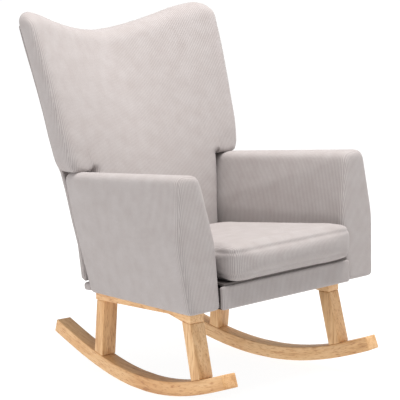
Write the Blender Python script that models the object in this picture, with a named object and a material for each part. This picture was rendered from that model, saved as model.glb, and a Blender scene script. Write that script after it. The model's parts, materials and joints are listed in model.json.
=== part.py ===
"""Wingback rocking chair on two beech rocker frames, with a loose seat cushion.

Metres, +Z up. The front of the chair faces -Y, and left and right are as seen from the front.
Lengths named y and z below are measured from the point where the rockers touch the floor; the
chair_root empty then moves everything so that the origin is under the middle of the whole chair.
"""

import math

import bmesh
import bpy
from mathutils import Vector

# Placement
ROOT_Y = -0.0652            # rocker contact line, measured from the middle of the whole chair
GAP = 0.0003                # clearance left between pieces that touch
SIDES = {"left": -1, "right": 1}

# Rocker frames: each stands in a vertical plane that toes in towards the back
TOE_SLOPE = 0.1024          # how far a frame comes inwards for each metre towards the back
FRAME_OUTER_X = 0.273       # outer face of a rocker where it touches the floor
ROCKER_WIDTH = 0.048
ROCKER_THICKNESS = 0.039
ROCKER_RADIUS = 0.804       # radius of the underside near the floor
ROCKER_SKEW = 0.09          # the back half rises a little less than the front half
ROCKER_FLATTENING = 0.51    # the underside straightens towards its ends
ROCKER_FRONT_Y = -0.3765
ROCKER_REAR_Y = 0.4130
ROCKER_REST_HALF = 0.030    # half the flat at the lowest point
LEG_DEPTH = 0.037
FRONT_LEG_TOP_Y = -0.2326   # front face of each leg, where it meets the side rail
FRONT_LEG_FOOT_Y = -0.2713
REAR_LEG_TOP_Y = 0.1592
REAR_LEG_FOOT_Y = 0.1736
RAIL_THICKNESS = 0.0210
RAIL_GAP = 0.0012           # between the rail and the fabric above it
RAIL_REAR_Y = 0.2000
RAIL_WEDGE_LENGTH = 0.058   # the rail deepens just behind the front leg
FRONT_LEG_TOP_Z = 0.2300
RAIL_BOLT_Y = (-0.060, 0.110)
RAIL_BOLT_RADIUS = 0.0040
RAIL_BOLT_HEAD_RADIUS = 0.0075
RAIL_BOLT_HEAD = 0.0050
RAIL_BOLT_LENGTH = 0.0450
BOLT_HOLE_RADIUS = 0.0045

# Seat box: everything in it leans back with the underside of the body
SEAT_SLOPE = -0.065
SEAT_BOTTOM_Z = 0.2521      # underside of the body above the floor, at y = 0
SEAT_FRONT_Y = -0.300
SEAT_REAR_Y = 0.2225
SEAT_FRONT_HALF = 0.2475    # half the width between the arms, at the front rail
BOARD = 0.020               # thickness of the seat box's side boards and rear rail
FRONT_RAIL = 0.040
BOARD_BASE = 0.003
BOARD_TOP = 0.056
BOARD_MARGIN = 0.001        # from a board to the arm beside it
CORNER_BLOCK_LEG = 0.048
CORNER_BLOCK_Z = (0.008, 0.050)
FRONT_COVER_PROUD = 0.0145  # how far the front rail's padded facing stands out
FRONT_COVER_MARGIN = 0.0005
FRONT_COVER_HEIGHT = 0.0640
FRONT_COVER_ROUND = 0.006
REAR_COVER_HALF = 0.245
REAR_COVER_GAP = 0.0020     # from the rear rail to its facing
REAR_COVER_REAR_Y = 0.2560
REAR_COVER_HEIGHT = 0.0235
REAR_COVER_ROUND = 0.008
DUST_COVER_END = 0.002      # margins of the dust cover, at its ends and its sides
DUST_COVER_SIDE = 0.003
DECK_FRONT_REACH = 0.010    # the deck pad laps over the front rail
DECK_REAR_Y = 0.135
DECK_SIDE = 0.004
DUST_COVER = 0.0015
DECK_BASE = 0.0647
DECK_TOP = 0.0705
SPRING_X = (-0.135, -0.045, 0.045, 0.135)
SPRING_WIRE = 0.0018        # radius of the wire
SPRING_WAVES = 15
SPRING_HALF_WIDTH = 0.019
SPRING_CROWN = 0.0042       # how far a spring arches up between the rails
SPRING_TAPER = 0.18         # the springs draw together towards the back
SPRING_END = 0.006          # how far each end lies in from the seat box's ends

# Arms
ARM_FRONT_Y = -0.306
ARM_REAR_Y = 0.2165
ARM_LEAN = 0.127            # the arm's ends lean back this much for each metre of height
ARM_TOP_Z = 0.6105
ARM_TOP_SLOPE = -0.093
ARM_SKIN = 0.012            # padding and fabric around the hollow
ARM_FRONT_PAD = 0.070       # solid padding in front of the hollow
ARM_TOP_LEVEL_Y = -0.035    # where the sloping top is at its stated height
ARM_FRONT_LEVEL_Z = 0.271   # heights where the leaning ends are at their stated places
ARM_REAR_LEVEL_Z = 0.276
ARM_TOP_FALL = 0.006        # the top falls this much towards the seat
ARM_ROUNDS = (0.016, 0.012)         # roundness of the front and rear ends
ARM_HOLLOW_ROUNDS = (0.010, 0.006)
ARM_HOLLOW_DROP = 0.020     # the hollow runs out through the open underside
ARM_PANEL_OUTLINE = ((-0.195, 0.0505), (0.165, 0.0505), (0.165, 0.275), (-0.160, 0.275))
ARM_PANEL_HALF = 0.0065     # half the plywood's thickness
ARM_PANEL_TILT = math.radians(8.0)
ARM_PANEL_TOE = 0.115
ARM_PANEL_X = 0.2440
ARM_PANEL_LIFT = 0.0015
# Cross-section of an arm at its front and at its rear
ARM_OUTER_BOTTOM_X = (0.3660, 0.2650)
ARM_BELLY_X = (0.3870, 0.3030)
ARM_BELLY_Z = (0.4500, 0.4300)
ARM_OUTER_TOP_X = (0.3680, 0.3250)
ARM_INNER_TOP_X = (0.2860, 0.2600)
ARM_WAIST_X = (0.2480, 0.2140)
ARM_WAIST_Z = (0.4500, 0.4300)
ARM_INNER_BOTTOM_X = (0.2500, 0.1990)
ARM_CORNER_RADII = (0.010, 0.300, 0.024, 0.026, 0.120, 0.010)
ARM_BOLT_Y = (-0.190, 0.120)
ARM_BOLT_Z = 0.030          # above the underside of the body
ARM_BOLT_LENGTH = 0.056
SMALL_BOLT_RADIUS = 0.0030
SMALL_BOLT_HEAD_RADIUS = 0.0060
SMALL_BOLT_HEAD = 0.0040
SMALL_HOLE_RADIUS = 0.0035
BOLT_HEAD_GAP = 0.0005
CLEAT_Y = (-0.204, 0.180)
CLEAT_INNER = (0.0270, 0.0210)   # distance outwards from the seat box, front and rear
CLEAT_OUTER = (0.0560, 0.0480)
CLEAT_Z = (0.002, 0.050)

# Back
BACK_BASE_Z = 0.3050
PANEL_BASE_Z = 0.2625
BACK_TOP_MIDDLE_Z = 0.953
BACK_TOP_WING_Z = 1.026
WING_BASE_Z = 0.596
WING_ROUNDING = 0.010
BACK_SKIN = 0.008           # padding and fabric around the hollow
BODY_LEVELS = (0.370, 0.440, 0.520, 0.575)
WING_LEVELS = (0.620, 0.680, 0.740, 0.800, 0.860, 0.920)
PANEL_TOP_Z = 0.985
BACK_TOP_ROUND = 0.034
BACK_EDGE_RADIUS = 0.030
LEDGE_STEP = 0.001          # height over which the back widens into its wings
PANEL_EDGE_RADIUS = 0.012
PANEL_GAP = 0.0030
PANEL_THICKNESS = 0.008
PANEL_FOOT_THICKNESS = 0.020
FRAME_FORWARD = 0.75        # how far the inner frame sits forward, in panel thicknesses
PANEL_FOOT_HALF = (0.254, 0.297)
PANEL_MARGIN = 0.024        # from the panel's edge to the wing's outer face
POST_X = 0.158
POST_HALF = 0.011
POST_DEPTH = 0.022
POST_BOLT_Z = 0.276
POST_BOLT_LENGTH = 0.044
POST_BOLT_GAP = 0.0030
WING_BOARD = 0.012          # thicknesses of the boards in the back
TOP_RAIL = 0.020
LOWER_RAIL = 0.018
TOP_RAIL_Z = (0.8755, 0.915)
TOP_RAIL_WING_X = (0.225, 0.285)
LOWER_RAIL_Z = (0.350, 0.395)
POST_LEVELS = (0.262, 0.36, 0.45, 0.54, 0.63, 0.72, 0.80, 0.875)
WING_BOARD_X = (0.230, 0.290)
WING_BOARD_LEVELS = (0.64, 0.72, 0.80, 0.875)
WEBBING_Z = (0.480, 0.600, 0.720)
WEBBING_WIDTH = 0.050
WEBBING_THICKNESS = 0.0016
WEBBING_OFFSET = 0.0014     # from the posts' faces to the middle of the straps

# Cushion
CUSHION_FRONT_Y = -0.352
CUSHION_REAR_Y = 0.1320
CUSHION_BASE = 0.0708
CUSHION_THICKNESS = 0.103
CUSHION_TAPER = 0.045
CUSHION_EAR_HALF = 0.272
CUSHION_EAR_REAR_Y = -0.304
CUSHION_SIDE_GAP = 0.004
CUSHION_SKIN = 0.004
CUSHION_EDGE = 0.018        # roundness of the top and bottom edges
CORE_FRONT_MARGIN = 0.006
CORE_GAP = 0.0006           # from the foam core to its cover
COVER_RADII = (0.026, 0.010, 0.004, 0.022, 0.022, 0.004, 0.010, 0.026)
CORE_RADII = (0.026, 0.022, 0.022, 0.026)
ZIP_DEPTH = (0.0035, 0.0005)        # the zip's faces, in from the rear edge
ZIP_Z = (0.036, 0.044)
ZIP_HALF = 0.1295
ZIP_SLOT_HALF = 0.130
ZIP_SLOT_DEPTH = 0.004


def clear_scene():
    for item in list(bpy.data.objects):
        bpy.data.objects.remove(item, do_unlink=True)


# ---------------------------------------------------------------- materials

def make_material(name, colour, roughness, metallic=0.0):
    material = bpy.data.materials.new(name)
    material.use_nodes = True
    shader = material.node_tree.nodes["Principled BSDF"]
    shader.inputs["Base Color"].default_value = (*colour, 1.0)
    shader.inputs["Roughness"].default_value = roughness
    shader.inputs["Metallic"].default_value = metallic
    material.diffuse_color = (*colour, 1.0)
    return material


def make_materials():
    return {
        "beech": make_material("beech", (0.71, 0.46, 0.23), 0.45),
        "corduroy": make_material("corduroy", (0.50, 0.44, 0.42), 0.95),
        "plywood": make_material("plywood", (0.62, 0.47, 0.30), 0.70),
        "foam": make_material("foam", (0.86, 0.82, 0.66), 0.95),
        "webbing": make_material("webbing", (0.16, 0.15, 0.15), 0.90),
        "dust_cloth": make_material("dust_cloth", (0.10, 0.10, 0.10), 0.95),
        "steel": make_material("steel", (0.55, 0.56, 0.58), 0.35, 1.0),
    }


# ---------------------------------------------------------------- helpers

def add_empty(name, parent=None, location=(0.0, 0.0, 0.0), rotation=(0.0, 0.0, 0.0)):
    empty = bpy.data.objects.new(name, None)
    bpy.context.scene.collection.objects.link(empty)
    empty.location = location
    empty.rotation_euler = rotation
    empty.parent = parent
    return empty


def add_object(name, shape, material, parent, location=(0.0, 0.0, 0.0), rotation=(0.0, 0.0, 0.0)):
    """Turn a bmesh into a named object with outward faces."""
    bmesh.ops.recalc_face_normals(shape, faces=shape.faces)
    mesh = bpy.data.meshes.new(name)
    shape.to_mesh(mesh)
    shape.free()
    mesh.materials.append(material)
    item = bpy.data.objects.new(name, mesh)
    bpy.context.scene.collection.objects.link(item)
    item.location = location
    item.rotation_euler = rotation
    item.parent = parent
    return item


def prism(outline, axis, start, end):
    """Extrude a closed outline along x or z; the outline gives the other two coordinates."""
    shape = bmesh.new()
    if axis == "x":
        points = [Vector((start, a, b)) for a, b in outline]
        travel = Vector((end - start, 0.0, 0.0))
    else:
        points = [Vector((a, b, start)) for a, b in outline]
        travel = Vector((0.0, 0.0, end - start))
    face = shape.faces.new([shape.verts.new(point) for point in points])
    grown = bmesh.ops.extrude_face_region(shape, geom=[face])
    moved = [item for item in grown["geom"] if isinstance(item, bmesh.types.BMVert)]
    bmesh.ops.translate(shape, verts=moved, vec=travel)
    return shape


def box(x, y, z):
    """A box from three (low, high) pairs."""
    return prism([(x[0], y[0]), (x[1], y[0]), (x[1], y[1]), (x[0], y[1])], "z", z[0], z[1])


def cylinder(radius, length, sides=12):
    """A cylinder along z, centred on the origin."""
    shape = bmesh.new()
    bmesh.ops.create_cone(
        shape, cap_ends=True, segments=sides, radius1=radius, radius2=radius, depth=length)
    return shape


def shade_round(item, angle=math.radians(35)):
    item.data.shade_smooth()
    item.data.set_sharp_from_angle(angle=angle)


def add_bevel(item, width, segments=2):
    bevel = item.modifiers.new("rounded_edges", "BEVEL")
    bevel.width = width
    bevel.segments = segments
    bevel.limit_method = "ANGLE"
    bevel.angle_limit = math.radians(40)


def cut(item, cutter):
    """Take the cutter's shape out of an object."""
    cutter.hide_render = True
    cutter.display_type = "WIRE"
    difference = item.modifiers.new("cut_" + cutter.name, "BOOLEAN")
    difference.operation = "DIFFERENCE"
    difference.object = cutter


def blend(low, high, share):
    return low + (high - low) * share


def ramp(value, start, end):
    """0 below start, 1 above end, straight between them."""
    return min(1.0, max(0.0, (value - start) / (end - start)))


def skin_rings(shape, rings, close_ends=True):
    """Join equal rings of points into one skin; each end is closed with a face."""
    loops = [[shape.verts.new(point) for point in ring] for ring in rings]
    count = len(loops[0])
    for lower, upper in zip(loops, loops[1:]):
        for i in range(count):
            j = (i + 1) % count
            shape.faces.new((lower[i], lower[j], upper[j], upper[i]))
    if close_ends:
        shape.faces.new(loops[0])
        shape.faces.new(loops[-1])
    return loops


def rounded_corner(before, corner, after, radius, segments):
    """Points of an arc that rounds one corner of a polygon."""
    into = (before - corner).normalized()
    out = (after - corner).normalized()
    half_angle = into.angle(out) / 2
    reach = min(radius / math.tan(half_angle), 0.45 * (before - corner).length,
                0.45 * (after - corner).length)
    radius = reach * math.tan(half_angle)
    centre = corner + (into + out).normalized() * (radius / math.sin(half_angle))
    first = corner + into * reach - centre
    last = corner + out * reach - centre
    return [centre + first.slerp(last, step / segments) * radius for step in range(segments + 1)]


def rounded_polygon(corners, radii, segments=3):
    points = []
    count = len(corners)
    for i in range(count):
        before = Vector(corners[i - 1])
        after = Vector(corners[(i + 1) % count])
        points += rounded_corner(before, Vector(corners[i]), after, radii[i], segments)
    return points


# ---------------------------------------------------------------- rocker frames

def rocker_underside(y):
    """Height of a rocker's underside above the floor."""
    if abs(y) < ROCKER_REST_HALF:
        y = ROCKER_REST_HALF
    rise = y ** 2 / (2 * ROCKER_RADIUS) - ROCKER_SKEW * y ** 3 - ROCKER_FLATTENING * y ** 4
    rest = ROCKER_REST_HALF ** 2 / (2 * ROCKER_RADIUS)
    return max(0.0, rise - rest)


def rocker_normal(y):
    """Upward direction square to the underside."""
    step = 0.002
    slope = (rocker_underside(y + step) - rocker_underside(y - step)) / (2 * step)
    return Vector((-slope, 1.0)).normalized()


def rocker_top(y):
    """Height of a rocker's top face at y."""
    foot = y
    for _ in range(20):
        foot = y - rocker_normal(foot).x * ROCKER_THICKNESS
    return rocker_underside(foot) + rocker_normal(foot).y * ROCKER_THICKNESS


def rocker_outline(segments=26):
    lower = []
    for i in range(segments // 2):
        lower.append(blend(ROCKER_FRONT_Y, -ROCKER_REST_HALF, i / (segments // 2)))
    lower.append(-ROCKER_REST_HALF)
    for i in range(segments // 2 + 1):
        lower.append(blend(ROCKER_REST_HALF, ROCKER_REAR_Y, i / (segments // 2)))
    bottom = [Vector((y, rocker_underside(y))) for y in lower]
    top = [Vector((y, rocker_underside(y))) + rocker_normal(y) * ROCKER_THICKNESS for y in lower]
    return bottom + top[::-1]


def rail_bottom(y):
    return SEAT_BOTTOM_Z - RAIL_THICKNESS + SEAT_SLOPE * y


def leg_outline(top_y, foot_y, top_z):
    """Side view of a leg: its foot is shaped to the rocker, its top to the rail."""
    foot = [foot_y + LEG_DEPTH * i / 3 for i in range(4)]
    points = [(y, rocker_top(y) + GAP) for y in foot]
    points.append((top_y + LEG_DEPTH, top_z(top_y + LEG_DEPTH) - GAP))
    points.append((top_y, top_z(top_y) - GAP))
    return points


def rail_outline():
    """Side view of the rail, with its deeper front end over the front leg."""
    front = FRONT_LEG_TOP_Y
    leg_back = FRONT_LEG_TOP_Y + LEG_DEPTH
    wedge_end = leg_back + RAIL_WEDGE_LENGTH
    top = RAIL_THICKNESS - RAIL_GAP
    return [
        (front, FRONT_LEG_TOP_Z),
        (leg_back, FRONT_LEG_TOP_Z),
        (wedge_end, rail_bottom(wedge_end)),
        (RAIL_REAR_Y, rail_bottom(RAIL_REAR_Y)),
        (RAIL_REAR_Y, rail_bottom(RAIL_REAR_Y) + top),
        (front, rail_bottom(front) + top),
    ]



def add_bolt(name, length, radius, head_radius, head, material, parent, location, rotation):
    """A bolt with its head below the origin and its shank up along z."""
    profile = [(head_radius, -head), (head_radius, 0.0), (radius, 0.0), (radius, length)]
    rings = []
    for ring_radius, z in profile:
        angles = [math.radians(30) * i for i in range(12)]
        rings.append([Vector((ring_radius * math.cos(a), ring_radius * math.sin(a), z)) for a in angles])
    shape = bmesh.new()
    skin_rings(shape, rings)
    bolt = add_object(name, shape, material, parent, location, rotation)
    shade_round(bolt)


def add_hole(item, name, radius, length, parent, location, rotation=(0.0, 0.0, 0.0)):
    cutter = add_object(name, cylinder(radius, length, 12), item.data.materials[0], parent,
                        location, rotation)
    cut(item, cutter)


def add_leg_frame(side_name, side, root, materials):
    beech = materials["beech"]
    steel = materials["steel"]
    frame = add_empty(side_name + "_leg_frame", root, (side * FRAME_OUTER_X, 0.0, 0.0),
                      (0.0, 0.0, side * math.atan(TOE_SLOPE)))
    inner = -side * ROCKER_WIDTH
    rocker = add_object(side_name + "_rocker", prism(rocker_outline(), "x", 0.0, inner), beech, frame)
    shade_round(rocker, math.radians(20))
    legs = {
        "front": leg_outline(FRONT_LEG_TOP_Y, FRONT_LEG_FOOT_Y, lambda y: FRONT_LEG_TOP_Z),
        "rear": leg_outline(REAR_LEG_TOP_Y, REAR_LEG_FOOT_Y, rail_bottom),
    }
    for place, outline in legs.items():
        add_object(f"{side_name}_{place}_leg", prism(outline, "x", 0.0, inner), beech, frame)
    rail = add_object(side_name + "_side_rail", prism(rail_outline(), "x", 0.0, inner), beech, frame)
    for number, y in enumerate(RAIL_BOLT_Y, start=1):
        tilt = (math.atan(SEAT_SLOPE), 0.0, 0.0)
        place = (inner / 2, y, rail_bottom(y))
        add_hole(rail, f"{side_name}_rail_hole_{number}", BOLT_HOLE_RADIUS, 0.1, frame, place, tilt)
        seat = (inner / 2, y, rail_bottom(y) - GAP)
        add_bolt(f"{side_name}_rail_bolt_{number}", RAIL_BOLT_LENGTH, RAIL_BOLT_RADIUS,
                 RAIL_BOLT_HEAD_RADIUS, RAIL_BOLT_HEAD, steel, frame, seat, tilt)
    return frame


# ---------------------------------------------------------------- seat box

def seat_half(y):
    """Half the width between the arms."""
    return SEAT_FRONT_HALF - TOE_SLOPE * (y - SEAT_FRONT_Y)


def plan_band(y_low, y_high, inner_offset, outer_offset, side):
    """Plan of a strip along one side of the seat box, measured in from the arm."""
    return [
        (side * (seat_half(y_low) - outer_offset), y_low),
        (side * (seat_half(y_high) - outer_offset), y_high),
        (side * (seat_half(y_high) - inner_offset), y_high),
        (side * (seat_half(y_low) - inner_offset), y_low),
    ]


def plan_trapezium(y_low, y_high, margin):
    return [
        (-(seat_half(y_low) - margin), y_low),
        (seat_half(y_low) - margin, y_low),
        (seat_half(y_high) - margin, y_high),
        (-(seat_half(y_high) - margin), y_high),
    ]


def add_seat_box(seat, materials):
    plywood = materials["plywood"]
    front_inner = SEAT_FRONT_Y + FRONT_RAIL
    rear_inner = SEAT_REAR_Y - BOARD
    rails = {
        "seat_front_rail": (SEAT_FRONT_Y, front_inner),
        "seat_rear_rail": (rear_inner, SEAT_REAR_Y),
    }
    for name, (low, high) in rails.items():
        add_object(name, prism(plan_trapezium(low, high, BOARD_MARGIN), "z", BOARD_BASE, BOARD_TOP),
                   plywood, seat)
    for side_name, side in SIDES.items():
        outline = plan_band(front_inner + GAP, rear_inner - GAP, BOARD, BOARD_MARGIN, side)
        board = add_object(f"seat_{side_name}_board", prism(outline, "z", BOARD_BASE, BOARD_TOP),
                           plywood, seat)
        add_arm_bolt_holes(board, f"seat_{side_name}", side, seat)
        add_corner_block(side_name, side, front_inner, seat, materials["beech"])
    add_springs(seat, materials["steel"])
    deck_outline = plan_trapezium(SEAT_FRONT_Y - DECK_FRONT_REACH, DECK_REAR_Y, DECK_SIDE)
    add_object("seat_deck_pad", prism(deck_outline, "z", DECK_BASE, DECK_TOP), materials["foam"], seat)
    dust_outline = plan_trapezium(SEAT_FRONT_Y + DUST_COVER_END, SEAT_REAR_Y - DUST_COVER_END,
                                  DUST_COVER_SIDE)
    add_object("seat_dust_cover", prism(dust_outline, "z", 0.0, DUST_COVER), materials["dust_cloth"],
               seat)


def add_corner_block(side_name, side, front_inner, seat, material):
    """Glued triangular block in a front corner of the seat box; the posts brace the rear ones."""
    near = front_inner + GAP
    far = near + CORNER_BLOCK_LEG
    inset = BOARD + GAP
    outline = [
        (side * (seat_half(near) - inset), near),
        (side * (seat_half(near) - inset - CORNER_BLOCK_LEG), near),
        (side * (seat_half(far) - inset), far),
    ]
    add_object(f"{side_name}_corner_block", prism(outline, "z", *CORNER_BLOCK_Z), material, seat)


def add_springs(seat, steel):
    """Zigzag springs from the front rail to the rear rail."""
    front = SEAT_FRONT_Y + SPRING_END
    rear = SEAT_REAR_Y - SPRING_END
    base = BOARD_TOP + GAP + SPRING_WIRE
    for number, x in enumerate(SPRING_X, start=1):
        curve = bpy.data.curves.new(f"seat_spring_{number}", "CURVE")
        curve.dimensions = "3D"
        curve.bevel_depth = SPRING_WIRE
        curve.bevel_resolution = 1
        curve.use_fill_caps = True
        steps = SPRING_WAVES * 3
        line = curve.splines.new("POLY")
        line.points.add(steps)
        for i in range(steps + 1):
            share = i / steps
            swing = math.copysign(SPRING_HALF_WIDTH, x) * math.sin(math.pi * SPRING_WAVES * share)
            rise = SPRING_CROWN * math.sin(math.pi * share)
            line.points[i].co = (x * (1 - SPRING_TAPER * share) + swing, blend(front, rear, share),
                                 base + rise, 1.0)
        curve.materials.append(steel)
        spring = bpy.data.objects.new(f"seat_spring_{number}", curve)
        bpy.context.scene.collection.objects.link(spring)
        spring.parent = seat


def add_front_rail_cover(seat, material):
    """Padded fabric facing over the front rail, proud of the arms."""
    half = SEAT_FRONT_HALF + FRONT_COVER_MARGIN
    depth = (SEAT_FRONT_Y - FRONT_COVER_PROUD, SEAT_FRONT_Y - GAP)
    cover = add_object("front_rail_cover",
                       box((-half, half), depth, (0.0, FRONT_COVER_HEIGHT)), material, seat)
    add_bevel(cover, FRONT_COVER_ROUND, 3)
    shade_round(cover)


def add_rear_rail_cover(seat, material):
    """Fabric-covered lower edge of the body, behind the arms and under the back."""
    width = (-REAR_COVER_HALF, REAR_COVER_HALF)
    depth = (SEAT_REAR_Y + REAR_COVER_GAP, REAR_COVER_REAR_Y)
    cover = add_object("rear_rail_cover", box(width, depth, (0.0, REAR_COVER_HEIGHT)), material, seat)
    add_bevel(cover, REAR_COVER_ROUND, 3)
    shade_round(cover)


# ---------------------------------------------------------------- arms

def body_bottom(y):
    return SEAT_BOTTOM_Z + SEAT_SLOPE * y


def arm_corners(share, inset, drop):
    """Corners of an arm's cross-section, from 0 at its front to 1 at its rear."""
    y = blend(ARM_FRONT_Y, ARM_REAR_Y, share)
    top = ARM_TOP_Z + ARM_TOP_SLOPE * (y - ARM_TOP_LEVEL_Y) - inset
    bottom = body_bottom(y) - drop
    return [
        (blend(*ARM_OUTER_BOTTOM_X, share) - inset, bottom),
        (blend(*ARM_BELLY_X, share) - inset, blend(*ARM_BELLY_Z, share)),
        (blend(*ARM_OUTER_TOP_X, share) - inset, top),
        (blend(*ARM_INNER_TOP_X, share) + inset, top - ARM_TOP_FALL),
        (blend(*ARM_WAIST_X, share) + inset, blend(*ARM_WAIST_Z, share)),
        (blend(*ARM_INNER_BOTTOM_X, share) + inset, bottom),
    ]


def arm_end(z, share):
    """Where the arm's front (share 0) and rear (share 1) faces lie at a height."""
    front = ARM_FRONT_Y + ARM_LEAN * (z - ARM_FRONT_LEVEL_Z)
    rear = ARM_REAR_Y + ARM_LEAN * (z - ARM_REAR_LEVEL_Z)
    return blend(front, rear, share)


def arm_ring(side, share, inset, drop, shift):
    ring = rounded_polygon(arm_corners(share, inset, drop), ARM_CORNER_RADII, 4)
    return [Vector((side * x, arm_end(z, share) + shift, z)) for x, z in ring]


def arm_shape(side, rounds, inset=0.0, drop=0.0, front_pad=0.0):
    """Lofted arm with rounded ends; an inset makes the hollow inside, behind its front pad."""
    rings = []
    steps = 4
    front_round, rear_round = rounds
    length = ARM_REAR_Y - ARM_FRONT_Y
    first = (inset + front_pad) / length
    last = 1 - inset / length
    for i in range(steps):
        angle = math.radians(90) * i / steps
        shrink = front_round * (1 - math.sin(angle))
        shift = front_round * (1 - math.cos(angle))
        rings.append(arm_ring(side, first, inset + shrink, drop - shrink * 0.4, shift))
    for i in range(7):
        share = i / 6
        travel = blend(front_round, -rear_round, share)
        rings.append(arm_ring(side, blend(first, last, share), inset, drop, travel))
    for i in range(1, steps + 1):
        angle = math.radians(90) * i / steps
        shrink = rear_round * (1 - math.cos(angle))
        shift = -rear_round * (1 - math.sin(angle))
        rings.append(arm_ring(side, last, inset + shrink, drop - shrink * 0.4, shift))
    shape = bmesh.new()
    skin_rings(shape, rings)
    return shape


def add_arm_bolt_holes(item, prefix, side, seat):
    for number, y in enumerate(ARM_BOLT_Y, start=1):
        place = (side * seat_half(y), y, ARM_BOLT_Z)
        turn = (0.0, math.radians(90), side * math.atan(TOE_SLOPE))
        add_hole(item, f"{prefix}_arm_hole_{number}", SMALL_HOLE_RADIUS, 0.09, seat, place, turn)


def add_arm(side_name, side, root, seat, frame, materials):
    """An arm: a padded fabric cover pulled down over a plywood panel and its cleat."""
    cover = add_object(side_name + "_arm_upholstery", arm_shape(side, ARM_ROUNDS), materials["corduroy"],
                       root)
    pocket = add_object(side_name + "_arm_pocket",
                        arm_shape(side, ARM_HOLLOW_ROUNDS, ARM_SKIN, ARM_HOLLOW_DROP, ARM_FRONT_PAD),
                        materials["foam"], root)
    add_arm_bolt_holes(cover, side_name + "_cover", side, seat)
    cut(cover, pocket)
    shade_round(cover)

    front, rear = CLEAT_Y
    cleat_outline = [
        (side * (seat_half(front) + CLEAT_INNER[0]), front),
        (side * (seat_half(rear) + CLEAT_INNER[1]), rear),
        (side * (seat_half(rear) + CLEAT_OUTER[1]), rear),
        (side * (seat_half(front) + CLEAT_OUTER[0]), front),
    ]
    cleat = add_object(side_name + "_arm_cleat", prism(cleat_outline, "z", *CLEAT_Z),
                       materials["plywood"], seat)
    add_arm_bolt_holes(cleat, side_name + "_cleat", side, seat)
    for number, y in enumerate(RAIL_BOLT_Y, start=1):
        tilt = (math.atan(SEAT_SLOPE), 0.0, 0.0)
        place = (-side * ROCKER_WIDTH / 2, y, rail_bottom(y))
        add_hole(cleat, f"{side_name}_cleat_hole_{number}", BOLT_HOLE_RADIUS, 0.12, frame, place, tilt)

    panel = add_object(side_name + "_arm_panel",
                       prism(ARM_PANEL_OUTLINE, "x", -ARM_PANEL_HALF, ARM_PANEL_HALF),
                       materials["plywood"], seat)
    panel.rotation_euler = (0.0, side * ARM_PANEL_TILT, side * math.atan(ARM_PANEL_TOE))
    panel.location = (side * ARM_PANEL_X, 0.0, ARM_PANEL_LIFT)

    for number, y in enumerate(ARM_BOLT_Y, start=1):
        outwards = Vector((side, TOE_SLOPE, 0.0)).normalized()
        head_face = Vector((side * seat_half(y), y, ARM_BOLT_Z)) - outwards * (BOARD + BOLT_HEAD_GAP)
        turn = (0.0, side * math.radians(90), side * math.atan(TOE_SLOPE))
        add_bolt(f"{side_name}_arm_bolt_{number}", ARM_BOLT_LENGTH, SMALL_BOLT_RADIUS,
                 SMALL_BOLT_HEAD_RADIUS, SMALL_BOLT_HEAD, materials["steel"], seat, head_face, turn)


# ---------------------------------------------------------------- back

def back_centre(z):
    """Middle of the back's thickness on the centre line: upright below, then leaning back."""
    return 0.205 + 0.60 * max(0.0, z - 0.38) ** 1.35


def back_mid(x, z):
    """Middle of the back's thickness; the wings come forward of the centre as it rises."""
    hollow = 0.27 * max(0.0, z - 0.45)
    return back_centre(z) - hollow * min(1.0, abs(x) / 0.36) ** 1.4


def back_half_thickness(z):
    return blend(0.058, 0.0475, ramp(z, 0.45, 0.75))


def panel_thickness(z):
    """The outside back is thick behind the arms and thin behind the wings."""
    return blend(PANEL_FOOT_THICKNESS, PANEL_THICKNESS, ramp(z, 0.52, 0.62))


def body_half_width(z):
    """Half width of the back where it stands between the arms."""
    return (blend(0.1920, 0.2130, ramp(z, BACK_BASE_Z, 0.44))
            + blend(0.0, 0.0330, ramp(z, 0.44, 0.575)))


def wing_half_width(z):
    return blend(0.333, 0.3440, ramp(z, 0.600, 0.660)) + blend(0.0, 0.0195, ramp(z, 0.660, 0.960))


def back_top(x):
    """Height of the top edge, which dips between the wings."""
    return BACK_TOP_MIDDLE_Z + (BACK_TOP_WING_Z - BACK_TOP_MIDDLE_Z) * min(1.0, abs(x) / 0.30) ** 1.6


def back_outline(half_width, half_depth, radius, columns=12, corner_steps=3):
    """Plan outline as (x, depth) pairs: across the front, then back across the rear."""
    radius = min(radius, half_depth * 0.98)
    front = []
    for i in range(corner_steps + 1):
        angle = math.radians(90) * i / corner_steps
        front.append((-half_width + radius * (1 - math.cos(angle)),
                      -half_depth + radius * (1 - math.sin(angle))))
    inner = half_width - radius
    for i in range(1, columns):
        front.append((blend(-inner, inner, i / columns), -half_depth))
    front += [(-x, depth) for x, depth in front[corner_steps::-1]]
    rear = [(x, -depth) for x, depth in front[::-1]]
    return front + rear


def back_ring(z, half_width, inset, front_offset, rear_offset, radius):
    """One ring of the back, between two offsets from the middle of its thickness."""
    middle = (rear_offset + front_offset) / 2
    half_depth = (rear_offset - front_offset) / 2 - inset
    ring = []
    for x, depth in back_outline(half_width - inset, half_depth, radius):
        height = z + (back_top(x) - BACK_TOP_WING_Z) * ramp(z, 0.66, BACK_TOP_WING_Z)
        ring.append(Vector((x, back_mid(x, height) + middle + depth, height)))
    return ring


def close_strip(shape, loop):
    """Close a long ring with a strip of faces from its front side to its rear side."""
    last = len(loop) - 1
    for i in range(len(loop) // 2 - 1):
        shape.faces.new((loop[i], loop[i + 1], loop[last - i - 1], loop[last - i]))


def rounded_top(top, radius, steps=4):
    """Levels and insets of a rounded top edge."""
    levels = []
    for i in range(steps + 1):
        angle = math.radians(90) * i / steps
        levels.append((top - radius * (1 - math.sin(angle)), radius * (1 - math.cos(angle))))
    return levels


def loft_back(levels, offsets, radius):
    """Loft rings given as (z, half width, inset); offsets gives the front and rear faces."""
    shape = bmesh.new()
    rings = [back_ring(z, width, inset, *offsets(z), radius) for z, width, inset in levels]
    loops = skin_rings(shape, rings, close_ends=False)
    close_strip(shape, loops[0])
    close_strip(shape, loops[-1])
    return shape


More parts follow.
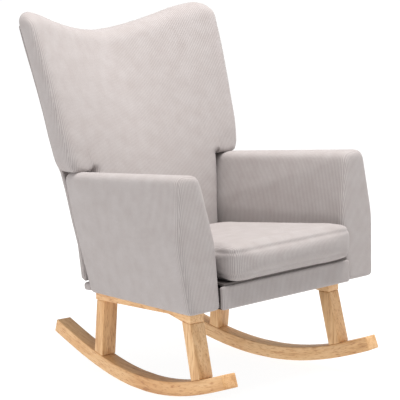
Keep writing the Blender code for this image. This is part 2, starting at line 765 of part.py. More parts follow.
def back_faces(z):
    half = back_half_thickness(z)
    return -half, half - panel_thickness(z) - PANEL_GAP


def back_shape(skin=0.0, base=BACK_BASE_Z):
    """Back with its wings; with a skin it is the hollow inside."""
    ledge = WING_BASE_Z + skin
    levels = [(z, body_half_width(z), skin) for z in (base,) + BODY_LEVELS]
    levels.append((ledge - LEDGE_STEP, body_half_width(ledge), skin))
    levels.append((ledge, wing_half_width(ledge) - WING_ROUNDING, skin))
    levels += [(z, wing_half_width(z), skin) for z in WING_LEVELS]
    for z, inset in rounded_top(BACK_TOP_WING_Z - skin, BACK_TOP_ROUND - skin * 0.8):
        levels.append((z, wing_half_width(z), skin + inset))
    return loft_back(levels, back_faces, BACK_EDGE_RADIUS)


def panel_faces(z):
    half = back_half_thickness(z)
    return half - panel_thickness(z), half


def panel_half_width(z):
    """Behind the arms the panel is as wide as the body there; above it stops short of the wings."""
    if z < WING_BASE_Z:
        return blend(*PANEL_FOOT_HALF, ramp(z, PANEL_BASE_Z, 0.57))
    return wing_half_width(z) - PANEL_MARGIN


def add_outside_back(root, material):
    """Padded panel that closes the rear from behind the seat box to the wings."""
    levels = [(PANEL_BASE_Z, 0.008), (PANEL_BASE_Z + 0.010, 0.0)]
    levels += [(z, 0.0) for z in BODY_LEVELS + WING_LEVELS]
    levels += [(PANEL_TOP_Z - 0.006, 0.002), (PANEL_TOP_Z, 0.004)]
    rings = [(z, panel_half_width(z), inset) for z, inset in levels]
    panel = add_object("outside_back_panel", loft_back(rings, panel_faces, PANEL_EDGE_RADIUS), material, root)
    shade_round(panel)


def add_curved_board(name, columns, levels, thickness, offset, material, root):
    """A board that follows the back's curve, between rows of x and z values."""
    shape = bmesh.new()
    sheets = []
    for face_offset in (offset - thickness / 2, offset + thickness / 2):
        grid = []
        for z in levels:
            shift = face_offset - panel_thickness(z) * FRAME_FORWARD
            grid.append([shape.verts.new((x, back_mid(x, z) + shift, z)) for x in columns])
        sheets.append(grid)
    rows = len(levels)
    count = len(columns)
    for grid in sheets:
        for j in range(rows - 1):
            for i in range(count - 1):
                shape.faces.new((grid[j][i], grid[j][i + 1], grid[j + 1][i + 1], grid[j + 1][i]))
    front, rear = sheets
    for j in (0, rows - 1):
        for i in range(count - 1):
            shape.faces.new((front[j][i], front[j][i + 1], rear[j][i + 1], rear[j][i]))
    for i in (0, count - 1):
        for j in range(rows - 1):
            shape.faces.new((front[j][i], front[j + 1][i], rear[j + 1][i], rear[j][i]))
    return add_object(name, shape, material, root)


def add_back_frame(root, materials):
    """Curved posts, rails, wing boards and webbing inside the back."""
    plywood = materials["plywood"]
    for side_name, side in SIDES.items():
        inner, outer = sorted((side * (POST_X - POST_HALF), side * (POST_X + POST_HALF)))
        post = add_curved_board(f"back_{side_name}_post", [inner, outer], POST_LEVELS, POST_DEPTH, 0.0,
                                plywood, root)
        add_post_bolt(post, side_name, side, root, materials["steel"])
        edges = sorted(side * x for x in (POST_X + POST_HALF + GAP,) + WING_BOARD_X)
        add_curved_board(f"{side_name}_wing_board", edges, WING_BOARD_LEVELS, WING_BOARD, 0.0,
                         plywood, root)
    reach = POST_X - POST_HALF - GAP
    span = [reach * i / 3 for i in range(-3, 4)]
    wide_span = [-x for x in TOP_RAIL_WING_X[::-1]] + span + list(TOP_RAIL_WING_X)
    add_curved_board("back_top_rail", wide_span, TOP_RAIL_Z, TOP_RAIL, 0.0, plywood, root)
    add_curved_board("back_lower_rail", span, LOWER_RAIL_Z, LOWER_RAIL, 0.0, plywood, root)
    for number, z in enumerate(WEBBING_Z, start=1):
        levels = [z, z + WEBBING_WIDTH / 2, z + WEBBING_WIDTH]
        add_curved_board(f"back_webbing_{number}", [-POST_X] + span[1:-1] + [POST_X], levels,
                         WEBBING_THICKNESS, -POST_DEPTH / 2 - WEBBING_OFFSET, materials["webbing"], root)


def add_post_bolt(post, side_name, side, root, steel):
    """Bolt through the seat box's rear rail into a post."""
    turn = (math.radians(90), 0.0, 0.0)
    head = (side * POST_X, SEAT_REAR_Y + POST_BOLT_GAP, POST_BOLT_Z)
    add_hole(post, f"{side_name}_post_hole", SMALL_HOLE_RADIUS, 0.2, root, head, turn)
    rail = bpy.data.objects["seat_rear_rail"]
    add_hole(rail, f"{side_name}_rear_rail_hole", SMALL_HOLE_RADIUS, 0.2, root, head, turn)
    add_bolt(f"back_{side_name}_bolt", POST_BOLT_LENGTH, SMALL_BOLT_RADIUS, SMALL_BOLT_HEAD_RADIUS,
             SMALL_BOLT_HEAD, steel, root, head, turn)


def add_back(root, materials):
    cover = add_object("back_upholstery", back_shape(), materials["corduroy"], root)
    pocket = add_object("back_pocket", back_shape(BACK_SKIN, BACK_BASE_Z - 0.02),
                        materials["foam"], root)
    cut(cover, pocket)
    shade_round(cover)
    add_outside_back(root, materials["corduroy"])
    add_back_frame(root, materials)


# ---------------------------------------------------------------- loose cushion

def cushion_corners(inset):
    """Plan of the cover: ears in front of the arms, then tapering towards the back."""
    side = seat_half(CUSHION_EAR_REAR_Y) - CUSHION_SIDE_GAP - inset
    rear = seat_half(CUSHION_REAR_Y) - CUSHION_SIDE_GAP - inset
    ear = CUSHION_EAR_HALF - inset
    neck = CUSHION_EAR_REAR_Y - inset * 0.5
    right = [(ear, CUSHION_FRONT_Y + inset), (ear, neck), (side, neck), (rear, CUSHION_REAR_Y - inset)]
    left = [(-x, y) for x, y in right[::-1]]
    return right + left


def core_corners(inset):
    """Plan of the foam core and of the hollow around it, without the ears."""
    front = seat_half(CUSHION_FRONT_Y) - CUSHION_SIDE_GAP - CORE_FRONT_MARGIN - inset
    rear = seat_half(CUSHION_REAR_Y) - CUSHION_SIDE_GAP - inset
    right = [(front, CUSHION_FRONT_Y + inset), (rear, CUSHION_REAR_Y - inset)]
    return right + [(-x, y) for x, y in right[::-1]]


def cushion_loft(corners, radii, skin):
    """Loft a cushion from its plan; its edges are rounded and its top falls towards the rear."""
    edge = CUSHION_EDGE
    steps = 3
    arc = [math.radians(90) * i / steps for i in range(steps + 1)]
    levels = [(edge * (1 - math.cos(angle)), edge * (1 - math.sin(angle)), 0) for angle in arc]
    levels += [(-edge * (1 - math.sin(angle)), edge * (1 - math.cos(angle)), 1) for angle in arc]
    rings = []
    for rise, inset, side in levels:
        ring = []
        for point in rounded_polygon(corners(inset + skin), radii, 3):
            top = CUSHION_THICKNESS - CUSHION_TAPER * (point.y - CUSHION_FRONT_Y)
            base = blend(skin, top - skin, side)
            ring.append(Vector((point.x, point.y, CUSHION_BASE + base + rise)))
        rings.append(ring)
    shape = bmesh.new()
    skin_rings(shape, rings)
    return shape


def add_cushion(seat, materials):
    """A foam core in a fabric cover, closed by a zip along its rear edge."""
    cushion = add_empty("cushion_root", seat)
    cover = add_object("cushion_cover", cushion_loft(cushion_corners, COVER_RADII, 0.0),
                       materials["corduroy"], cushion)
    hollow = add_object("cushion_hollow", cushion_loft(core_corners, CORE_RADII, CUSHION_SKIN),
                        materials["foam"], cushion)
    cut(cover, hollow)
    zip_y = [CUSHION_REAR_Y - depth for depth in ZIP_DEPTH]
    zip_z = [CUSHION_BASE + height for height in ZIP_Z]
    slot_x = (-ZIP_SLOT_HALF, ZIP_SLOT_HALF)
    slot_y = (zip_y[0] - ZIP_SLOT_DEPTH, CUSHION_REAR_Y + ZIP_SLOT_DEPTH)
    slot = add_object("cushion_slot", box(slot_x, slot_y, zip_z), materials["foam"], cushion)
    cut(cover, slot)
    shade_round(cover)
    core = add_object("cushion_core", cushion_loft(core_corners, CORE_RADII, CUSHION_SKIN + CORE_GAP),
                      materials["foam"], cushion)
    shade_round(core)
    add_object("cushion_zip", box((-ZIP_HALF, ZIP_HALF), zip_y, (zip_z[0] + GAP, zip_z[1] - GAP)),
               materials["steel"], cushion)


# ---------------------------------------------------------------- assembly

def build():
    clear_scene()
    materials = make_materials()
    root = add_empty("chair_root", None, (0.0, ROOT_Y, 0.0))
    seat = add_empty("seat_root", root, (0.0, 0.0, SEAT_BOTTOM_Z), (math.atan(SEAT_SLOPE), 0.0, 0.0))
    add_seat_box(seat, materials)
    add_front_rail_cover(seat, materials["corduroy"])
    add_rear_rail_cover(seat, materials["corduroy"])
    for side_name, side in SIDES.items():
        frame = add_leg_frame(side_name, side, root, materials)
        add_arm(side_name, side, root, seat, frame, materials)
    add_back(root, materials)
    add_cushion(seat, materials)


build()
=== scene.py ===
"""Looks of the wingback rocking chair: ribbed fabric over padding, on oiled beech rocker frames.

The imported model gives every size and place. Wooden pieces get rounded edges and grain; the covers
are made from their solids, most of them on an even mesh; the cushion is padded out by a cloth
simulation and gets seams, and all of them get ribbed cloth.
"""
import json
import math

import bmesh
import bpy
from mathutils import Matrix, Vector


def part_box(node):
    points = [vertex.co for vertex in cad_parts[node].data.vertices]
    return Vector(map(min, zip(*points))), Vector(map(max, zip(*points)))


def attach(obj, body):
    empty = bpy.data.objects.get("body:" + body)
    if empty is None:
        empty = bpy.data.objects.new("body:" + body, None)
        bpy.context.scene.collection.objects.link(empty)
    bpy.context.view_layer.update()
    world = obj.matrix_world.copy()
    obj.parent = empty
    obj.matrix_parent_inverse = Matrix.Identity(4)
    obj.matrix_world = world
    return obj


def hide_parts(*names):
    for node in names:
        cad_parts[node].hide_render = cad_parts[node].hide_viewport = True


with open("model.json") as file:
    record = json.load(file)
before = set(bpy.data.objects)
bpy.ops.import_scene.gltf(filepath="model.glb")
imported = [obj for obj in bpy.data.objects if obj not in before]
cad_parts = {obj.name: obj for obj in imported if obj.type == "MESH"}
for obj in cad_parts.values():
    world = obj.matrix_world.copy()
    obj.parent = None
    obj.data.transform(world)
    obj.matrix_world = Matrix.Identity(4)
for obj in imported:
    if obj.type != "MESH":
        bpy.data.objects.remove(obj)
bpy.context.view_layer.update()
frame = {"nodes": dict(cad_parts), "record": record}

SIDES = {"left": -1, "right": 1}

# Wood
WOOD_EDGE = 0.0028          # rounding of the beech pieces' edges
ROCKER_CONTACT_Y = -0.0652  # where the rockers touch the floor
GRAIN_CURVE = 0.53          # how fast the rockers' grain rises either side of that, per metre

# Fabric
RIB_PITCH = 0.0050          # real ribs are about 2 mm apart; drawn coarser so that they show
RIB_WANDER = 0.0040         # how far a rib strays from straight
RIB_WANDER_SCALE = 5.0
TURNING_POINT = 0.72        # how squarely a face looks sideways before its ribs are counted in depth
ARM_LEAN = 0.127            # the arms' ends lean back this much for each metre of height
BACK_VOXEL = 0.0060
CUSHION_VOXEL = 0.0050
ARM_VOXEL = 0.0050
RAIL_VOXEL = 0.0030
BACK_SMOOTHING = 14         # passes that round a cover's edges after its mesh is evened
ARM_SMOOTHING = 10
RAIL_SMOOTHING = 4
CUSHION_SMOOTHING = (6, 14)     # before and after the cloth simulation
CORE_SHRINK = 0.10
BODY_SLOPE = -0.065            # rise of the seat for each metre towards the back
CUSHION_FALL = 0.11          # fall of the cushion's top for each metre towards the back
CUSHION_SWELL = 0.006       # the most that the padding moves the cover
SEAM_DEPTH = 0.0030
SEAM_WIDTH = 0.0045
BOXING_EDGE = 0.018         # from the cushion's top and bottom to the seams of its boxing strip

# Seat box
RAIL_COVER_SPREAD = 0.006   # the rails' facings are pulled out this far at each end, to the arms
LAPPED_BOARDS = ("seat_deck_pad", "seat_left_board", "seat_right_board", "seat_front_rail",
                 "seat_rear_rail")   # dark decking cloth is drawn over these

# Wings
WING_BASE_Z = 0.596         # height of their lower edges
WING_INNER_X = 0.250        # where they start, outside the part of the back between the arms
WING_SETTLE = 0.011         # how far their edges come down onto the arms
WING_SETTLE_REACH = 0.060

# Studio
FLOOR_SIZE = 200.0          # wide enough that its far edge never shows
FLOOR_GLOW = 0.90           # lifts the floor to the white of the room
ROOM_LIGHT = 0.50
LIGHTS = (                  # name, place, target, size in metres, watts, colour
    ("overhead_light", (0.3, -0.5, 4.2), (0.0, 0.0, 0.5), 2.4, 218.0, "FFFDFB"),
    ("front_light", (2.4, -3.6, 1.6), (0.0, 0.0, 0.6), 1.6, 16.0, "FFFFFF"),
    ("side_light", (-3.2, 0.7, 0.9), (0.0, 0.1, 0.5), 1.6, 31.0, "FFFFFF"),
)

# View
CAMERA_PLACE = (-3.4315, -3.5417, 1.3561)
CAMERA_PITCH = 80.04
CAMERA_YAW = -44.34
CAMERA_LENS = 157.7


# ---------------------------------------------------------------- colours and nodes

def linear(hex_colour):
    """An sRGB hex colour as linear RGBA."""
    channels = []
    for i in (0, 2, 4):
        value = int(hex_colour[i:i + 2], 16) / 255
        channels.append(value / 12.92 if value <= 0.04045 else ((value + 0.055) / 1.055) ** 2.4)
    return (*channels, 1.0)


def new_material(name):
    material = bpy.data.materials.new(name)
    material.use_nodes = True
    return material, material.node_tree.nodes["Principled BSDF"]


def add_node(material, kind, inputs=None, stops=None, **settings):
    """Add a node and return it. Each input is a value or the output that feeds it, stops fill a
    colour ramp, and settings are the node's own properties."""
    tree = material.node_tree
    node = tree.nodes.new(kind)
    for key, value in settings.items():
        setattr(node, key, value)
    for key, value in (inputs or {}).items():
        if isinstance(value, bpy.types.NodeSocket):
            tree.links.new(value, node.inputs[key])
        else:
            node.inputs[key].default_value = value
    if stops:
        points = node.color_ramp.elements
        while len(points) < len(stops):
            points.new(0.5)
        for point, (position, colour) in zip(points, stops):
            point.position = position
            point.color = linear(colour)
    return node


def join(material, source, target):
    material.node_tree.links.new(source, target)


# ---------------------------------------------------------------- materials

def ribbed_cloth(name, lean=0.0, turned=False):
    """Fine-ribbed corduroy in light pinkish grey: soft stripes of light and shade, dry, with a faint
    velvety edge. Ribs run upwards; lean slants them with the arms' ends. On faces that look
    sideways, and on the whole of a turned piece, they are counted along the chair's depth."""
    material, shader = new_material(name)
    coordinates = add_node(material, "ShaderNodeTexCoord")
    here = coordinates.outputs["Object"]
    place = add_node(material, "ShaderNodeSeparateXYZ", {"Vector": here})
    facing = add_node(material, "ShaderNodeSeparateXYZ", {"Vector": coordinates.outputs["Normal"]})
    along = add_node(material, "ShaderNodeMath", {0: place.outputs["Z"], 1: -lean, 2: place.outputs["Y"]},
                     operation="MULTIPLY_ADD")
    looking = facing.outputs["Y"] if turned else facing.outputs["X"]
    share = add_node(material, "ShaderNodeMath", {0: looking}, operation="ABSOLUTE")
    pick = add_node(material, "ShaderNodeMath", {0: share.outputs[0], 1: TURNING_POINT},
                    operation="LESS_THAN" if turned else "GREATER_THAN")
    counted = add_node(material, "ShaderNodeMix",
                       {0: pick.outputs[0], 2: place.outputs["X"], 3: along.outputs[0]},
                       data_type="FLOAT")
    wander = add_node(material, "ShaderNodeTexNoise",
                      {"Vector": here, "Scale": RIB_WANDER_SCALE, "Detail": 1.0})
    shifted = add_node(material, "ShaderNodeMath",
                       {0: wander.outputs["Fac"], 1: RIB_WANDER, 2: counted.outputs[0]},
                       operation="MULTIPLY_ADD")
    angle = add_node(material, "ShaderNodeMath", {0: shifted.outputs[0], 1: 2 * math.pi / RIB_PITCH},
                     operation="MULTIPLY")
    wave = add_node(material, "ShaderNodeMath", {0: angle.outputs[0]}, operation="SINE")
    rib = add_node(material, "ShaderNodeMath", {0: wave.outputs[0], 1: 0.5, 2: 0.5},
                   operation="MULTIPLY_ADD")

    blotch = add_node(material, "ShaderNodeTexNoise", {"Vector": here, "Scale": 26.0, "Detail": 4.0})
    fuzz = add_node(material, "ShaderNodeTexNoise", {"Vector": here, "Scale": 900.0, "Detail": 2.0})
    rib_colour = add_node(material, "ShaderNodeValToRGB", {"Fac": rib.outputs[0]},
                          ((0.0, "A19B9A"), (0.45, "B3ADAC"), (1.0, "BBB5B4")))
    worn = add_node(material, "ShaderNodeValToRGB", {"Fac": blotch.outputs["Fac"]},
                    ((0.30, "F6F4F3"), (0.70, "FFFFFF")))
    flecks = add_node(material, "ShaderNodeValToRGB", {"Fac": fuzz.outputs["Fac"]},
                      ((0.30, "EFEDEC"), (0.65, "FFFFFF")))
    toned = add_node(material, "ShaderNodeMix",
                     {0: 1.0, 6: rib_colour.outputs["Color"], 7: worn.outputs["Color"]},
                     data_type="RGBA", blend_type="MULTIPLY")
    flecked = add_node(material, "ShaderNodeMix", {0: 1.0, 6: toned.outputs[2], 7: flecks.outputs["Color"]},
                       data_type="RGBA", blend_type="MULTIPLY")
    join(material, flecked.outputs[2], shader.inputs["Base Color"])
    ridge = add_node(material, "ShaderNodeBump",
                     {"Height": rib.outputs[0], "Strength": 0.35, "Distance": 0.0012})
    nap = add_node(material, "ShaderNodeBump",
                   {"Height": fuzz.outputs["Fac"], "Normal": ridge.outputs[0], "Strength": 0.25,
                    "Distance": 0.0006})
    join(material, nap.outputs[0], shader.inputs["Normal"])
    shader.inputs["Roughness"].default_value = 0.92
    shader.inputs["Specular IOR Level"].default_value = 0.25
    shader.inputs["Sheen Weight"].default_value = 0.12
    shader.inputs["Sheen Roughness"].default_value = 0.45
    return material


def beech(name, grain="up"):
    """Oiled beech: pale orange-brown with fine darker flecks and slow bands along the grain, which
    runs up the legs, along the rails, or round with the rockers' curve. A satin, dry sheen."""
    material, shader = new_material(name)
    coordinates = add_node(material, "ShaderNodeTexCoord")
    here = coordinates.outputs["Object"]
    place = add_node(material, "ShaderNodeSeparateXYZ", {"Vector": here})
    height = place.outputs["Z"]
    if grain == "round":
        reach = add_node(material, "ShaderNodeMath", {0: place.outputs["Y"], 1: ROCKER_CONTACT_Y},
                         operation="SUBTRACT")
        squared = add_node(material, "ShaderNodeMath", {0: reach.outputs[0], 1: 2.0}, operation="POWER")
        level = add_node(material, "ShaderNodeMath", {0: squared.outputs[0], 1: -GRAIN_CURVE, 2: height},
                         operation="MULTIPLY_ADD")
        height = level.outputs[0]
    stretch = (1.0, 1.0, 0.06) if grain == "up" else (1.0, 0.06, 1.0)
    unrolled = add_node(material, "ShaderNodeCombineXYZ",
                        {"X": place.outputs["X"], "Y": place.outputs["Y"], "Z": height})
    mapped = add_node(material, "ShaderNodeMapping", {"Vector": unrolled.outputs[0], "Scale": stretch})
    bands = add_node(material, "ShaderNodeTexNoise",
                     {"Vector": mapped.outputs[0], "Scale": 55.0, "Detail": 5.0, "Distortion": 0.6})
    flecks = add_node(material, "ShaderNodeTexNoise",
                      {"Vector": mapped.outputs[0], "Scale": 420.0, "Detail": 3.0})
    tone = add_node(material, "ShaderNodeTexNoise", {"Vector": here, "Scale": 5.0, "Detail": 1.0})
    base = add_node(material, "ShaderNodeValToRGB", {"Fac": bands.outputs["Fac"]},
                    ((0.30, "C89A68"), (0.45, "DEB380"), (0.58, "E6BF8F"), (0.72, "D2A371")))
    fleck_tint = add_node(material, "ShaderNodeValToRGB", {"Fac": flecks.outputs["Fac"]},
                          ((0.34, "C9A688"), (0.46, "FFFFFF")))
    slow = add_node(material, "ShaderNodeValToRGB", {"Fac": tone.outputs["Fac"]},
                    ((0.30, "F0E2D2"), (0.70, "FFFFFF")))
    flecked = add_node(material, "ShaderNodeMix",
                       {0: 0.75, 6: base.outputs["Color"], 7: fleck_tint.outputs["Color"]},
                       data_type="RGBA", blend_type="MULTIPLY")
    toned = add_node(material, "ShaderNodeMix", {0: 1.0, 6: flecked.outputs[2], 7: slow.outputs["Color"]},
                     data_type="RGBA", blend_type="MULTIPLY")
    join(material, toned.outputs[2], shader.inputs["Base Color"])
    roughness = add_node(material, "ShaderNodeMapRange",
                         {"Value": bands.outputs["Fac"], "To Min": 0.38, "To Max": 0.55})
    join(material, roughness.outputs[0], shader.inputs["Roughness"])
    pores = add_node(material, "ShaderNodeBump",
                     {"Height": flecks.outputs["Fac"], "Strength": 0.15, "Distance": 0.0004})
    join(material, pores.outputs[0], shader.inputs["Normal"])
    shader.inputs["Coat Weight"].default_value = 0.08
    shader.inputs["Coat Roughness"].default_value = 0.35
    return material


def plywood():
    """Birch plywood: pale faces with faint veneer figure and thin darker glue lines."""
    material, shader = new_material("plywood")
    coordinates = add_node(material, "ShaderNodeTexCoord")
    plies = add_node(material, "ShaderNodeTexWave",
                     {"Vector": coordinates.outputs["Object"], "Scale": 110.0, "Distortion": 1.5,
                      "Detail": 2.0})
    colour = add_node(material, "ShaderNodeValToRGB", {"Fac": plies.outputs["Fac"]},
                      ((0.15, "A98355"), (0.40, "CDAE80")))
    join(material, colour.outputs["Color"], shader.inputs["Base Color"])
    shader.inputs["Roughness"].default_value = 0.7
    return material


def plain(name, dark, light, grain_size, roughness, metallic=0.0):
    """A finish with a fine two-tone grain: cut foam, webbing, black dust cloth or zinc plating."""
    material, shader = new_material(name)
    coordinates = add_node(material, "ShaderNodeTexCoord")
    grain = add_node(material, "ShaderNodeTexNoise",
                     {"Vector": coordinates.outputs["Object"], "Scale": 1 / grain_size, "Detail": 3.0})
    colour = add_node(material, "ShaderNodeValToRGB", {"Fac": grain.outputs["Fac"]},
                      ((0.35, dark), (0.65, light)))
    join(material, colour.outputs["Color"], shader.inputs["Base Color"])
    bump = add_node(material, "ShaderNodeBump",
                    {"Height": grain.outputs["Fac"], "Strength": 0.3, "Distance": grain_size * 0.3})
    join(material, bump.outputs[0], shader.inputs["Normal"])
    shader.inputs["Roughness"].default_value = roughness
    shader.inputs["Metallic"].default_value = metallic
    return material


# ---------------------------------------------------------------- mesh helpers

def select_only(item):
    bpy.ops.object.select_all(action="DESELECT")
    item.select_set(True)
    bpy.context.view_layer.objects.active = item


def merged_copy(node, name, flatten=True):
    """A CAD node's mesh as a new piece, with its loose triangles joined up."""
    mesh = frame["nodes"][node].data.copy()
    mesh.materials.clear()
    piece = bpy.data.objects.new(name, mesh)
    bpy.context.scene.collection.objects.link(piece)
    shape = bmesh.new()
    shape.from_mesh(mesh)
    bmesh.ops.remove_doubles(shape, verts=shape.verts, dist=0.00002)
    if flatten:
        bmesh.ops.dissolve_limit(shape, angle_limit=math.radians(0.4), verts=shape.verts,
                                 edges=shape.edges)
    bmesh.ops.recalc_face_normals(shape, faces=shape.faces)
    shape.to_mesh(mesh)
    shape.free()
    return piece


def apply_modifier(piece, modifier):
    select_only(piece)
    bpy.ops.object.modifier_apply(modifier=modifier.name)


def smooth_shading(piece, degrees):
    select_only(piece)
    bpy.ops.object.shade_smooth_by_angle(angle=math.radians(degrees))


def place_piece(piece, body, material, slot, *nodes):
    """The piece takes the material, rides on the body and stands for the CAD nodes."""
    piece.data.materials.clear()
    piece.data.materials.append(material)
    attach(piece, body)
    if nodes:
        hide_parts(*nodes)


def outer_skin(piece, keep_from, cuts):
    """Keep only a hollow cover's outside: faces inside the cut boxes go, then everything that is
    no longer joined to the point keep_from, and the openings are closed."""
    shape = bmesh.new()
    shape.from_mesh(piece.data)
    doomed = []
    for face in shape.faces:
        for low, high in cuts:
            centre = face.calc_center_median()
            if all(low[i] <= centre[i] <= high[i] for i in range(3)):
                doomed.append(face)
                break
    bmesh.ops.delete(shape, geom=doomed, context="FACES")
    start = min(shape.verts, key=lambda vert: (vert.co - Vector(keep_from)).length)
    found = {start}
    frontier = [start]
    while frontier:
        vert = frontier.pop()
        for edge in vert.link_edges:
            other = edge.other_vert(vert)
            if other not in found:
                found.add(other)
                frontier.append(other)
    bmesh.ops.delete(shape, geom=[v for v in shape.verts if v not in found], context="VERTS")
    bmesh.ops.holes_fill(shape, edges=[e for e in shape.edges if e.is_boundary], sides=0)
    bmesh.ops.recalc_face_normals(shape, faces=shape.faces)
    shape.to_mesh(piece.data)
    shape.free()


def hull_of(piece):
    """Replace a cover that bulges everywhere with its outside."""
    shape = bmesh.new()
    for vert in piece.data.vertices:
        shape.verts.new(vert.co)
    result = bmesh.ops.convex_hull(shape, input=shape.verts)
    inner = [item for item in result["geom_interior"] if isinstance(item, bmesh.types.BMVert)]
    bmesh.ops.delete(shape, geom=inner, context="VERTS")
    bmesh.ops.recalc_face_normals(shape, faces=shape.faces)
    shape.to_mesh(piece.data)
    shape.free()


def remesh(piece, voxel):
    modifier = piece.modifiers.new("even_mesh", "REMESH")
    modifier.mode = "VOXEL"
    modifier.voxel_size = voxel
    apply_modifier(piece, modifier)


def relax(piece, repeats, factor=0.5):
    modifier = piece.modifiers.new("relaxed", "SMOOTH")
    modifier.iterations = repeats
    modifier.factor = factor
    apply_modifier(piece, modifier)


def move_points(piece, rule):
    """Move each point by what rule(place, normal) returns."""
    mesh = piece.data
    moves = [rule(vert.co, vert.normal) for vert in mesh.vertices]
    for vert, move in zip(mesh.vertices, moves):
        vert.co += move
    mesh.update()


def press_seam(piece, distance, depth, width):
    """Draw the surface in along a seam; distance(place, normal) says how far off it a point lies."""
    def sink(place, normal):
        return -normal * depth * math.exp(-(distance(place, normal) / width) ** 2)
    move_points(piece, sink)


def swell(piece, cap, pressure=2.5, frames=16):
    """Pad a cover out with Cloth under pressure; no point moves further than the cap."""
    rest = [vert.co.copy() for vert in piece.data.vertices]
    cloth = piece.modifiers.new("padding", "CLOTH")
    cloth.settings.quality = 5
    cloth.settings.mass = 0.3
    cloth.settings.tension_stiffness = 12
    cloth.settings.compression_stiffness = 12
    cloth.settings.bending_stiffness = 4.0
    cloth.settings.use_pressure = True
    cloth.settings.uniform_pressure_force = pressure
    cloth.settings.effector_weights.gravity = 0.0
    cloth.point_cache.frame_start = 1
    cloth.point_cache.frame_end = frames
    for step in range(1, frames + 1):
        bpy.context.scene.frame_set(step)
    apply_modifier(piece, cloth)
    bpy.context.scene.frame_set(1)
    for vert, start in zip(piece.data.vertices, rest):
        travel = vert.co - start
        if travel.length > cap:
            vert.co = start + travel.normalized() * cap
    piece.data.update()


# ---------------------------------------------------------------- beech frames

def finish_wood(node, material, edge=WOOD_EDGE):
    """A beech piece with its edges eased, as by hand with sandpaper."""
    piece = merged_copy(node, node + "_finished")
    bevel = piece.modifiers.new("eased_edges", "BEVEL")
    bevel.width = edge
    bevel.segments = 3
    bevel.limit_method = "ANGLE"
    bevel.angle_limit = math.radians(40)
    bevel.harden_normals = False
    apply_modifier(piece, bevel)
    smooth_shading(piece, 32)
    place_piece(piece, "chair", material, "beech", node)


def finish_frames():
    upright = beech("oiled_beech_upright", "up")
    along = beech("oiled_beech_along", "along")
    rounded = beech("oiled_beech_round", "round")
    for side in SIDES:
        finish_wood(side + "_rocker", rounded)
        finish_wood(side + "_front_leg", upright)
        finish_wood(side + "_rear_leg", upright)
        finish_wood(side + "_side_rail", along)


# ---------------------------------------------------------------- covers

def finish_back(cloth):
    piece = merged_copy("back_upholstery", "back_cover", flatten=False)
    low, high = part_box("back_upholstery")
    rim = ((low[0] - 1, low[1] - 1, low[2] - 1), (high[0] + 1, high[1] + 1, low[2] + 0.001))
    outer_skin(piece, (0.0, high[1], high[2]), [rim])
    remesh(piece, BACK_VOXEL)
    relax(piece, BACK_SMOOTHING)

    def settle(place, normal):
        """The wings' lower edges rest on the arms."""
        height = (place.z - WING_BASE_Z) / WING_SETTLE_REACH
        if abs(place.x) < WING_INNER_X or not -0.5 < height < 1.0:
            return Vector((0.0, 0.0, 0.0))
        return Vector((0.0, 0.0, -WING_SETTLE * min(1.0, 1.0 - height)))
    move_points(piece, settle)
    place_piece(piece, "chair", cloth, "corduroy", "back_upholstery")
    smooth_shading(piece, 180)


def finish_outside_back(cloth):
    """Its top edge thins out to nothing, which an even mesh would tear, so it keeps its own."""
    piece = merged_copy("outside_back_panel", "outside_back", flatten=False)
    place_piece(piece, "chair", cloth, "corduroy", "outside_back_panel")
    smooth_shading(piece, 50)


def finish_arm(name, cloth):
    node = name + "_arm_upholstery"
    piece = merged_copy(node, name + "_arm_cover", flatten=False)
    hull_of(piece)
    remesh(piece, ARM_VOXEL)
    relax(piece, ARM_SMOOTHING)
    place_piece(piece, "chair", cloth, "corduroy", node)
    smooth_shading(piece, 180)


def finish_rail_covers(cloth):
    for node in ("front_rail_cover", "rear_rail_cover"):
        piece = merged_copy(node, node.replace("cover", "padding"), flatten=False)
        remesh(piece, RAIL_VOXEL)
        relax(piece, RAIL_SMOOTHING)
        spread = RAIL_COVER_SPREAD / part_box(node)[1][0]
        move_points(piece, lambda place, normal: Vector((place.x * spread, 0.0, 0.0)))
        place_piece(piece, "chair", cloth, "corduroy", node)
        smooth_shading(piece, 180)


def finish_cushion(cloth):
    piece = merged_copy("cushion_cover", "seat_cushion_cover", flatten=False)
    low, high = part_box("cushion_cover")
    zip_low, zip_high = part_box("cushion_zip")
    slot = ((zip_low[0] - 0.002, zip_low[1] - 0.006, zip_low[2] - 0.002),
            (zip_high[0] + 0.002, high[1] + 0.01, zip_high[2] + 0.002))
    outer_skin(piece, (0.0, low[1], high[2]), [slot])
    remesh(piece, CUSHION_VOXEL)
    relax(piece, CUSHION_SMOOTHING[0])
    swell(piece, CUSHION_SWELL)
    relax(piece, CUSHION_SMOOTHING[1])
    seam_base = low[2] - BODY_SLOPE * (high[1] - low[1])

    def off_seam(place, normal):
        """The boxing strip's two seams run round the sides, just inside the rounded edges."""
        if abs(normal.z) > 0.75:
            return 1.0
        top = high[2] - CUSHION_FALL * (place.y - low[1])
        bottom = seam_base + BODY_SLOPE * (place.y - low[1])
        return min(abs(place.z - top + BOXING_EDGE), abs(place.z - bottom - BOXING_EDGE))
    press_seam(piece, off_seam, SEAM_DEPTH, SEAM_WIDTH)
    place_piece(piece, "seat_cushion", cloth, "corduroy", "cushion_cover")
    smooth_shading(piece, 180)


def finish_core(foam):
    """The foam block inside the cushion, a little smaller than the space in the cover."""
    piece = merged_copy("cushion_core", "cushion_foam", flatten=False)
    low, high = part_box("cushion_core")
    middle = (Vector(low) + Vector(high)) / 2
    move_points(piece, lambda place, normal: (middle - place) * CORE_SHRINK)
    place_piece(piece, "seat_cushion", foam, "foam", "cushion_core")
    smooth_shading(piece, 40)


# ---------------------------------------------------------------- pieces kept from the model

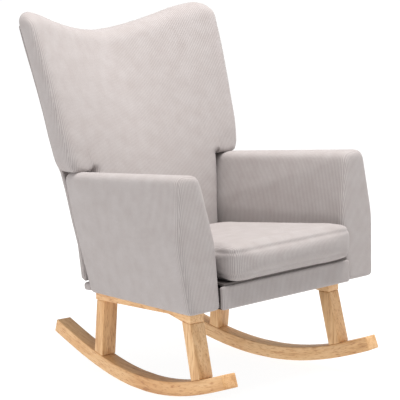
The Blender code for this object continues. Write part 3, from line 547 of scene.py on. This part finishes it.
def finish_hidden_pieces():
    """Pieces inside and under the body keep their shape and get real materials."""
    finishes = {
        "plywood": plywood(),
        "beech": beech("planed_beech", "along"),
        "foam": plain("cut_foam", "D9CFA6", "EFE6C4", 0.0012, 0.95),
        "decking": plain("decking_cloth", "57514F", "6E6765", 0.0010, 0.95),
        "webbing": plain("elastic_webbing", "2B2929", "474343", 0.0010, 0.9),
        "dust_cloth": plain("dust_cloth", "17181A", "2A2B2E", 0.0008, 0.95),
        "steel": plain("zinc_plated_steel", "8C9094", "B9BDC1", 0.0030, 0.35, 1.0),
    }
    slots = {row["node"]: row["material_slot"] for row in frame["record"]["subparts"]}
    for name, item in frame["nodes"].items():
        if slots.get(name) in finishes:
            finish = "decking" if name in LAPPED_BOARDS else slots[name]
            item.data.materials.clear()
            item.data.materials.append(finishes[finish])
    return finishes


# ---------------------------------------------------------------- studio

def add_area_light(name, place, target, size, power, colour):
    lamp = bpy.data.lights.new(name, "AREA")
    lamp.shape = "SQUARE"
    lamp.size = size
    lamp.energy = power
    lamp.color = linear(colour)[:3]
    item = bpy.data.objects.new(name, lamp)
    bpy.context.scene.collection.objects.link(item)
    item.location = place
    item.rotation_euler = (Vector(target) - Vector(place)).to_track_quat("-Z", "Y").to_euler()


def set_studio():
    scene = bpy.context.scene
    world = bpy.data.worlds.new("soft_white_room")
    scene.world = world
    world.use_nodes = True
    world.node_tree.nodes["Background"].inputs["Color"].default_value = linear("FFFFFF")
    world.node_tree.nodes["Background"].inputs["Strength"].default_value = ROOM_LIGHT
    for light in LIGHTS:
        add_area_light(*light)

    bpy.ops.object.select_all(action="DESELECT")
    bpy.ops.mesh.primitive_plane_add(size=FLOOR_SIZE, location=(0.0, 0.0, -0.0005))
    floor = bpy.context.active_object
    floor.name = "pale_floor"
    material, shader = new_material("pale_floor")
    shader.inputs["Base Color"].default_value = linear("7C7B7A")
    shader.inputs["Roughness"].default_value = 0.9
    shader.inputs["Emission Color"].default_value = linear("FFFFFF")
    shader.inputs["Emission Strength"].default_value = FLOOR_GLOW
    floor.data.materials.append(material)
    scene.view_settings.view_transform = "Standard"


def set_camera():
    camera = bpy.data.cameras.new("camera")
    camera.lens = CAMERA_LENS
    camera.sensor_width = 36.0
    item = bpy.data.objects.new("camera", camera)
    bpy.context.scene.collection.objects.link(item)
    item.location = CAMERA_PLACE
    item.rotation_euler = (math.radians(CAMERA_PITCH), 0.0, math.radians(CAMERA_YAW))
    bpy.context.scene.camera = item


# ---------------------------------------------------------------- assembly

set_camera()
set_studio()
finishes = finish_hidden_pieces()
finish_frames()
body_cloth = ribbed_cloth("ribbed_cloth_body")
arm_cloth = ribbed_cloth("ribbed_cloth_arms", lean=ARM_LEAN, turned=True)
finish_back(body_cloth)
finish_outside_back(body_cloth)
for side_name in SIDES:
    finish_arm(side_name, arm_cloth)
finish_rail_covers(body_cloth)
finish_cushion(body_cloth)
finish_core(finishes["foam"])
